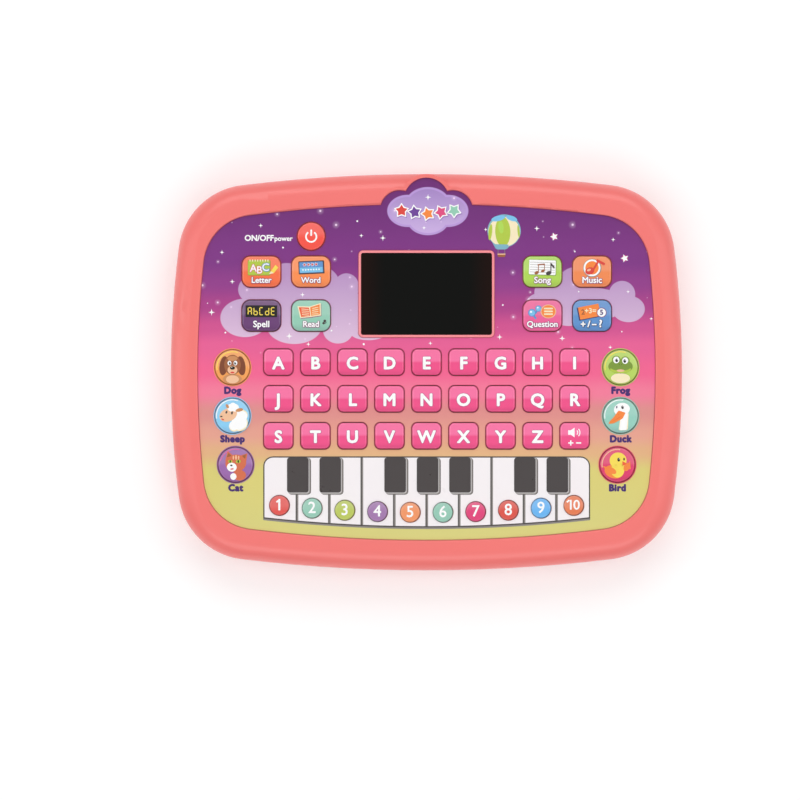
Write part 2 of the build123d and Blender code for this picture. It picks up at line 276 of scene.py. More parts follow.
def filmPrint(tree):
    place = addNode(tree, "TexCoord").outputs["Object"]
    axes = addNode(tree, "SeparateXYZ")
    tree.links.new(place, axes.inputs[0])
    low, high = film["ramp"][0][0], film["ramp"][-1][0]
    ramp = addNode(tree, "ValToRGB")
    ramp.color_ramp.interpolation = "EASE"
    stops = ramp.color_ramp.elements
    while len(stops) < len(film["ramp"]):
        stops.new(0.5)
    for stop, (height, _) in zip(stops, film["ramp"]):  # every place first, then the colours in order
        stop.position = (height - low) / (high - low)
    for stop, (_, colour) in zip(stops, film["ramp"]):
        stop.color = linear(colour)
    tree.links.new(climbMask(tree, axes.outputs["Y"], (low, high)), ramp.inputs[0])
    face = ramp.outputs["Color"]

    # lilac clouds, paler towards their foot
    whole = cloudMask(tree, film["clouds"], 0.0)
    lilac = cloudInk(tree, axes.outputs["Y"], film["cloudSpan"], film["cloudInks"])
    face = addMix(tree, addMath(tree, "MULTIPLY", whole, film["cloudShare"]), face, lilac)
    whole = cloudMask(tree, film["badge"], 0.0)
    core = cloudMask(tree, film["badge"], film["badgeBorder"])
    face = addMix(tree, whole, face, linear(film["badgeEdge"]))
    lilac = cloudInk(tree, axes.outputs["Y"], film["badgeSpan"], film["badgeInks"])
    face = addMix(tree, core, face, lilac)

    # star dust on the upper half: few fine specks of uneven size, each with a faint halo
    cells = addNode(tree, "TexVoronoi", {"Scale": dust["scale"], "Randomness": 1.0}, voronoi_dimensions="2D",
                    feature="F1")
    tree.links.new(place, cells.inputs["Vector"])
    pick = addNode(tree, "SeparateColor")
    tree.links.new(cells.outputs["Color"], pick.inputs[0])
    reach = addMath(tree, "ADD", addMath(tree, "MULTIPLY", pick.outputs[1], dust["vary"]), dust["small"])
    near = addMath(tree, "DIVIDE", cells.outputs["Distance"], reach)
    speck = addNode(tree, "MapRange", {"From Min": 1.0, "From Max": 0.5, "To Max": dust["bright"]})
    halo = addNode(tree, "MapRange", {"From Min": 3.2, "From Max": 0.6, "To Max": dust["halo"]},
                   interpolation_type="SMOOTHSTEP")
    for mask in (speck, halo):
        tree.links.new(near, mask.inputs["Value"])
    chosen = addMath(tree, "GREATER_THAN", pick.outputs[0], dust["chosen"])
    upper = climbMask(tree, axes.outputs["Y"], dust["from"])
    shine = addMath(tree, "MAXIMUM", speck.outputs[0], halo.outputs[0])
    shine = addMath(tree, "MULTIPLY", addMath(tree, "MULTIPLY", shine, chosen), upper, clamp=True)
    return addMix(tree, shine, face, linear(dust["ink"]))


# painted shade: the film's print darkened in the thin ring round each key's hole
def keylinePrint(tree):
    return addMix(tree, film["gapShadeShare"], filmPrint(tree), linear(film["gapShadeInk"]))


# the smoked window: near black in its middle, with a painted glow that turns it lighter and redder towards its left
# and right sides
window = {"middle": "070806", "sides": "1A0906", "from": 18, "to": 29, "gloss": 0.2}


def windowTint(tree):
    place = addNode(tree, "TexCoord").outputs["Object"]
    axes = addNode(tree, "SeparateXYZ")
    tree.links.new(place, axes.inputs[0])
    side = addNode(tree, "MapRange", {"From Min": window["from"] * mm, "From Max": window["to"] * mm},
                   interpolation_type="SMOOTHSTEP")
    tree.links.new(addMath(tree, "ABSOLUTE", axes.outputs["X"]), side.inputs["Value"])
    return addMix(tree, side.outputs[0], linear(window["middle"]), linear(window["sides"]))


seam = {"height": 12.0, "half": 0.14, "soft": 0.06}


def seamLine(tree):
    place = addNode(tree, "TexCoord").outputs["Object"]
    axes = addNode(tree, "SeparateXYZ")
    tree.links.new(place, axes.inputs[0])
    away = addMath(tree, "ABSOLUTE", addMath(tree, "SUBTRACT", axes.outputs["Z"], seam["height"] * mm))
    line = addNode(tree, "MapRange", {"From Min": (seam["half"] + seam["soft"]) * mm, "From Max": seam["half"] * mm})
    tree.links.new(away, line.inputs["Value"])
    return addMix(tree, line.outputs[0], linear(paint["coral"]), linear(paint["seamRed"]))


coral = moulded("coralShell", None, source=seamLine, rough=0.36, peel=0.14, vary=0.05, coat=0.18)
# the window's rim is the same coral moulding as the shell; its paler pink is a painted highlight
rimHighlightPink = moulded("windowRimHighlight", linear(paint["rimHighlightPink"]), rough=0.2, peel=0.1, coat=0.3)
filmInk = moulded("printedFilm", None, rough=0.32, peel=0.05, vary=0.05, coat=0.12, source=filmPrint)
# this material carries the painted gap shade round each key's hole
filmGapShade = moulded("paintedGapShade", None, rough=0.35, peel=0.05, source=keylinePrint)
# the window's lighter sides are a painted glow
tintedGlowing = moulded("tintedAcrylicSideGlow", None, rough=0.08, peel=0.02, vary=0.2, source=windowTint)
tintedGlowing.node_tree.nodes["Principled BSDF"].inputs["Specular IOR Level"].default_value = window["gloss"]
steel = moulded("zincSteel", linear("B9BBC0"), rough=0.28, peel=0.05, metal=1.0)
springSteel = moulded("springSteel", linear("C9C9C4"), rough=0.2, peel=0.02, metal=1.0)
solderMask = moulded("solderMask", linear("1F6B3C"), rough=0.35, peel=0.2, vary=0.25, coat=0.2)
domeRubber = moulded("domeRubber", linear("D9D6CC"), rough=0.55, peel=0.15, vary=0.1)
blackResin = moulded("blackResin", linear("1B1B1D"), rough=0.4, peel=0.25, vary=0.3)
paperCone = moulded("paperCone", linear("26262A"), rough=0.8, peel=0.6, vary=0.4)
cellJacket = moulded("cellJacket", linear("2F5F8F"), rough=0.25, peel=0.05, vary=0.1, coat=0.5)

functionRows, letterRows, animalRows, numberRow = (45.2, 19.8), (4.5, 16.55), (2.2, 21.9), (-61.8, 40.0)
keyPaint = {
    "power_button": ("powerRed", 61.1, 30.0),
    "letter_key": ("letterOrange",) + functionRows, "word_key": ("wordOrange",) + functionRows,
    "spell_key": ("purple",) + functionRows, "read_key": ("mint",) + functionRows,
    "song_key": ("lime",) + functionRows, "music_key": ("musicOrange",) + functionRows,
    "question_key": ("pink",) + functionRows, "maths_key": ("blue",) + functionRows,
    "dog_button": ("dogOrange",) + animalRows, "sheep_button": ("sheepBlue",) + animalRows,
    "cat_button": ("catPurple",) + animalRows, "frog_button": ("frogLime",) + animalRows,
    "duck_button": ("duckMint",) + animalRows, "bird_button": ("birdMagenta",) + animalRows,
    "volume_key": ("letterPink",) + letterRows,
}
animalButtons = ("dog_button", "sheep_button", "cat_button", "frog_button", "duck_button", "bird_button")
numberColours = ["oneRed", "twoMint", "threeLime", "fourLilac", "fiveOrange", "twoMint", "sevenPink", "eightRed",
                 "nineBlue", "tenOrange"]
for number, colour in enumerate(numberColours, 1):
    keyPaint[f"number_key_{number}"] = (colour,) + numberRow
for name in nodes:
    if len(name) == 5 and name.startswith("key_"):
        keyPaint[name] = ("letterPink",) + letterRows


def middle(node):
    low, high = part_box(node)
    return (low + high) / 2


def spotOf(node):
    x, y, z = middle(node) / mm
    return x, y


def paintNode(node, *materials):
    slots = nodes[node].data.materials
    slots.clear()
    for material in materials:
        slots.append(material)


made = {}
for name, (colour, row, pitch) in keyPaint.items():
    key = (colour, row, pitch)
    if key not in made:
        made[key] = keyMaterial(f"keyCap.{colour}.{len(made)}", colour, row, pitch)
    paintNode(name, made[key])


def paintFaces(node, choose, *materials):
    paintNode(node, *materials)
    for face in nodes[node].data.polygons:
        face.material_index = choose(face.center / mm)


plateTop = 23.4
windowRim = {"reach": 0.5, "above": 0.05}
# where one finish meets another inside the case, in mm
insides = {"board": (18, 19), "domeTop": 19.41, "module": (28.1, 18, 53), "speakerY": -56, "coneTop": 3.01,
           "coneRadius": 15.7, "bayY": 8, "jacketHalf": 23.6, "doorScrewY": 34.5, "doorScrewRadius": 2.72}
windowLow, windowHigh = (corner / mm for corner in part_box("display_window"))


def shellFace(spot):
    reach = windowRim["reach"]
    across = windowLow.x - reach < spot.x < windowHigh.x + reach
    along = windowLow.y - reach < spot.y < windowHigh.y + reach
    return 1 if across and along and spot.z > plateTop + windowRim["above"] else 0


def boardFace(spot):
    low, high = insides["board"]
    if low - 0.001 <= spot.z <= high + 0.001:
        return 0
    if spot.z > high:
        half, near, far = insides["module"]
        module = abs(spot.x) < half and near < spot.y < far
        return 2 if spot.z > insides["domeTop"] or module else 1
    return 2


def speakerFace(spot):
    away = math.hypot(spot.x, spot.y - insides["speakerY"])
    return 1 if spot.z < insides["coneTop"] and away < insides["coneRadius"] else 0


def cellFace(spot):
    return 1 if abs(spot.y - insides["bayY"]) > insides["jacketHalf"] else 0


def doorFace(spot):
    away = math.hypot(spot.x, abs(spot.y - insides["bayY"]) - insides["doorScrewY"])
    return 1 if away < insides["doorScrewRadius"] else 0


# the faces of the window's rim take the painted highlight pink
paintFaces("front_shell", shellFace, coral, rimHighlightPink)
paintNode("rear_shell", coral)
paintNode("display_window", tintedGlowing)
paintFaces("main_board", boardFace, solderMask, domeRubber, blackResin)
paintFaces("speaker", speakerFace, steel, paperCone)
paintFaces("batteries", cellFace, cellJacket, steel)
paintFaces("battery_door", doorFace, coral, steel)
paintNode("screws", steel)
shellFinish = {"weld": 0.002, "split": 28, "weight": 50}
for name in ("front_shell", "rear_shell"):  # one smooth skin across the joins of the case's faces
    weld = nodes[name].modifiers.new("weld", "WELD")
    weld.merge_threshold = shellFinish["weld"] * mm
    split = nodes[name].modifiers.new("split", "EDGE_SPLIT")
    split.split_angle = math.radians(shellFinish["split"])
    split.use_edge_sharp = False
    smooth = nodes[name].modifiers.new("smooth", "WEIGHTED_NORMAL")
    smooth.mode, smooth.weight, smooth.keep_sharp = "CORNER_ANGLE", shellFinish["weight"], True
print("materials on the frame")


def intoScene(name, mesh, materials, body):
    for material in materials:
        mesh.materials.append(material)
    piece = bpy.data.objects.new(name, mesh)
    bpy.context.scene.collection.objects.link(piece)
    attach(piece, body)
    return piece


def makeFilm():
    bm = bmesh.new()
    bm.from_mesh(nodes["front_shell"].data)
    bmesh.ops.remove_doubles(bm, verts=bm.verts, dist=shellFinish["weld"] * mm)
    floor = {face for face in bm.faces
             if abs(face.calc_center_median().z - plateTop * mm) < 0.01 * mm and face.normal.z > 0.99}
    bmesh.ops.delete(bm, geom=[face for face in bm.faces if face not in floor], context="FACES")
    bmesh.ops.dissolve_limit(bm, angle_limit=0.01, verts=bm.verts, edges=bm.edges)
    # the inner ring round each hole takes the painted gap shade
    for step, slot in ((film["inset"], None), (film["gapShadeWidth"], 1)):
        ring = bmesh.ops.inset_region(bm, faces=bm.faces[:], thickness=step * mm, use_even_offset=True,
                                      use_boundary=True)
        if slot is None:
            bmesh.ops.delete(bm, geom=ring["faces"], context="FACES")
        for face in ring["faces"] if slot else ():
            face.material_index = slot
    bmesh.ops.triangulate(bm, faces=bm.faces[:])
    bmesh.ops.solidify(bm, geom=bm.faces[:], thickness=-film["thick"] * mm)
    mesh = bpy.data.meshes.new("film")
    bm.to_mesh(mesh)
    bm.free()
    return intoScene("printed_film", mesh, [filmInk, filmGapShade], "case")


makeFilm()
print("film made")

contacts = {"ends": (-21.2, 37.2), "plate": (9.6, 0.4, 10.4), "corner": 1.2, "level": 9.45, "pitch": 15.3,
            "cells": 3, "spring": 2.6, "wire": 0.3, "turns": 4, "smooth": 24, "reach": 3.9}


def makeContacts():
    bm = bmesh.new()
    wide, thick, tall = contacts["plate"]
    for index in range(contacts["cells"]):
        x = (index - 1) * contacts["pitch"]
        springEnd = index % 2  # the cells lie head to tail, so the springs change sides
        for end, (y, inward) in enumerate(zip(contacts["ends"], (1, -1))):
            place = Matrix.Translation((x, y + inward * thick / 2, contacts["level"]))
            plate = bmesh.ops.create_cube(bm, size=1.0, matrix=place @ Matrix.Diagonal((wide, thick, tall,
                                                                                        1)))["verts"]
            upright = [edge for edge in {e for v in plate for e in v.link_edges}
                       if abs(edge.verts[0].co.y - edge.verts[1].co.y) > 0.5 * thick]
            bmesh.ops.bevel(bm, geom=upright, offset=contacts["corner"], offset_type="OFFSET", segments=4,
                            profile=0.5, affect="EDGES", material=-1)
            if end == springEnd:
                coil = bmesh.new()
                ring = Matrix.Translation((contacts["spring"], 0, 0))
                bmesh.ops.create_circle(coil, cap_ends=True, segments=10, radius=contacts["wire"], matrix=ring)
                steps = contacts["smooth"] * contacts["turns"]
                bmesh.ops.spin(coil, geom=coil.verts[:] + coil.edges[:] + coil.faces[:], cent=(0, 0, 0),
                               axis=(0, 1, 0),
                               dvec=(0, contacts["reach"] / steps, 0), angle=2 * math.pi * contacts["turns"],
                               steps=steps)
                bmesh.ops.recalc_face_normals(coil, faces=coil.faces)
                if inward < 0:
                    bmesh.ops.rotate(coil, matrix=Matrix.Rotation(math.pi, 3, "X"), cent=(0, 0, 0), verts=coil.verts)
                start = y + inward * (thick + contacts["wire"])
                bmesh.ops.translate(coil, vec=(x, start, contacts["level"]), verts=coil.verts)
                holder = bpy.data.meshes.new("coil")
                coil.to_mesh(holder)
                coil.free()
                bm.from_mesh(holder)
                bpy.data.meshes.remove(holder)
    bmesh.ops.scale(bm, vec=(mm, mm, mm), verts=bm.verts)
    mesh = bpy.data.meshes.new("contacts")
    bm.to_mesh(mesh)
    bm.free()
    intoScene("battery_contacts", mesh, [springSteel], "case")


makeContacts()
print("battery contacts made")


# printed artwork: flat inks laid over each other, on the key caps and on the film
inkSheet = {"step": 0.022, "thick": 0.03, "nudge": 0.002, "roundness": 40, "copies": 8}


def ink(colour):
    name = "ink." + colour
    if name in bpy.data.materials:
        return bpy.data.materials[name]
    return moulded(name, linear(paint[colour]), rough=0.3, peel=0.05, vary=0.08, coat=0.25)


def placed(bm, x, y, turn=0.0):
    bmesh.ops.rotate(bm, matrix=Matrix.Rotation(math.radians(turn), 3, "Z"), verts=bm.verts)
    bmesh.ops.translate(bm, vec=(x, y, 0), verts=bm.verts)
    return bm


def faceUp(bm):
    bm.normal_update()
    bmesh.ops.reverse_faces(bm, faces=[face for face in bm.faces if face.normal.z < 0])
    bm.normal_update()
    return bm


def oval(x, y, wide, high=None, turn=0.0):
    bm = bmesh.new()
    bmesh.ops.create_circle(bm, cap_ends=True, segments=inkSheet["roundness"], radius=1.0)
    bmesh.ops.scale(bm, vec=(wide, high or wide, 1), verts=bm.verts)
    return placed(faceUp(bm), x, y, turn)


def patch(points, soften=0.0):
    bm = bmesh.new()
    bm.faces.new([bm.verts.new((x, y, 0)) for x, y in points])
    if soften:
        bmesh.ops.bevel(bm, geom=bm.verts[:], offset=soften, offset_type="OFFSET", segments=4, profile=0.5,
                        affect="VERTICES", material=-1, clamp_overlap=True)
    return faceUp(bm)


def card(x, y, wide, high, soften=0.0, turn=0.0):
    w, h = wide / 2, high / 2
    return placed(patch([(-w, -h), (w, -h), (w, h), (-w, h)], soften), x, y, turn)


def star(x, y, radius, points=5, waist=0.45, turn=0.0):
    bm = bmesh.new()
    bmesh.ops.create_circle(bm, cap_ends=True, segments=2 * points, radius=radius)
    for index, corner in enumerate(bm.verts):
        corner.co *= waist if index % 2 else 1
    bmesh.ops.bevel(bm, geom=bm.verts[:], offset=0.07 * radius, offset_type="OFFSET", segments=3, profile=0.5,
                    affect="VERTICES", material=-1, clamp_overlap=True)
    return placed(faceUp(bm), x, y, turn)


def bow(x, y, radius, wide, low, high):
    bm = bmesh.new()
    ends = [bm.verts.new((radius + side * wide / 2, 0, 0)) for side in (-1, 1)]
    edge = bm.edges.new(ends)
    bmesh.ops.spin(bm, geom=ends + [edge], angle=math.radians(high - low), steps=max(6, int((high - low) / 8)),
                   axis=(0, 0, 1), cent=(0, 0, 0), use_merge=high - low > 359)
    return placed(faceUp(bm), x, y, low)


def words(text, x, y, size, bold=0.0, spread=1.0):
    curve = bpy.data.curves.new("words", "FONT")
    curve.body, curve.size = text, size
    curve.align_x, curve.align_y = "CENTER", "CENTER"
    curve.space_character = spread
    curve.resolution_u = 3
    curve.fill_mode = "FRONT"
    holder = bpy.data.objects.new("words", curve)
    mesh = bpy.data.meshes.new_from_object(holder)
    bpy.data.objects.remove(holder)
    bpy.data.curves.remove(curve)
    flats = []
    copies = inkSheet["copies"]
    for turn in range(-1, copies if bold else 0):  # a bold letter is the plain one with more copies around it
        reach, angle = bold if turn >= 0 else 0, turn * 2 * math.pi / copies
        bm = bmesh.new()
        bm.from_mesh(mesh)
        flats.append(placed(faceUp(bm), x + reach * math.cos(angle), y + reach * math.sin(angle)))
    bpy.data.meshes.remove(mesh)
    return flats


def gathered(flats):
    if not isinstance(flats, list):
        return [flats]
    return [flat for part in flats for flat in gathered(part)]


def printInks(name, body, layers, centre, base):
    sheet, used = bmesh.new(), []
    for level, (colour, flats) in enumerate(layers):
        if colour not in used:
            used.append(colour)
        for turn, flat in enumerate(gathered(flats)):
            nudge = turn % (inkSheet["copies"] + 1) * inkSheet["nudge"]
            height = inkSheet["thick"] + level * inkSheet["step"] + nudge
            raised = bmesh.ops.extrude_face_region(flat, geom=flat.faces[:], use_keep_orig=True)["geom"]
            corners = [part for part in raised if isinstance(part, bmesh.types.BMVert)]
            bmesh.ops.translate(flat, vec=(0, 0, height), verts=corners)
            bmesh.ops.recalc_face_normals(flat, faces=flat.faces)
            for face in flat.faces:
                face.material_index = used.index(colour)
                face.smooth = False
            layer = bpy.data.meshes.new("layer")
            flat.to_mesh(layer)
            flat.free()
            sheet.from_mesh(layer)
            bpy.data.meshes.remove(layer)
    bmesh.ops.scale(sheet, vec=(mm, mm, mm), verts=sheet.verts)
    bmesh.ops.translate(sheet, vec=(centre[0], centre[1], base), verts=sheet.verts)
    mesh = bpy.data.meshes.new(name)
    sheet.to_mesh(mesh)
    sheet.free()
    return intoScene(name, mesh, [ink(colour) for colour in used], body)


def printKey(node, layers):
    printInks(node + ".print", node, layers, middle(node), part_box(node)[1].z)


def outlined(text, x, y, size, bold, rim, edge="plum", face="white"):
    return [(edge, words(text, x + 0.05, y - 0.05, size, bold + rim)), (face, words(text, x, y, size, bold))]


def note(x, y, size, flag=True):
    parts = [oval(x, y, 0.34 * size, 0.25 * size, 25), card(x + 0.28 * size, y + 0.62 * size, 0.12 * size,
                                                            1.25 * size)]
    if flag:
        hook = [(0.24, 1.25), (0.34, 1.25), (0.75, 0.8), (0.7, 0.55), (0.34, 0.92)]
        parts.append(patch([(x + u * size, y + v * size) for u, v in hook], 0.03 * size))
    return parts


# which of the seven strokes each letter of the little readout lights
readout = {"A": "1110111", "b": "0011111", "C": "1001110", "d": "0111101", "E": "1001111"}


def readoutLetter(letter, x, y, wide, high, bar):
    strokes = [(0, 0.5, 0), (0.5, 0.25, 1), (0.5, -0.25, 1), (0, -0.5, 0), (-0.5, -0.25, 1), (-0.5, 0.25, 1),
               (0, 0, 0)]
    lit = []
    for on, (u, v, upright) in zip(readout[letter], strokes):
        if on == "1":
            size = (bar, high * 0.43) if upright else (wide * 0.86, bar)
            lit.append(card(x + u * wide, y + v * high, *size, bar * 0.35))
    return lit


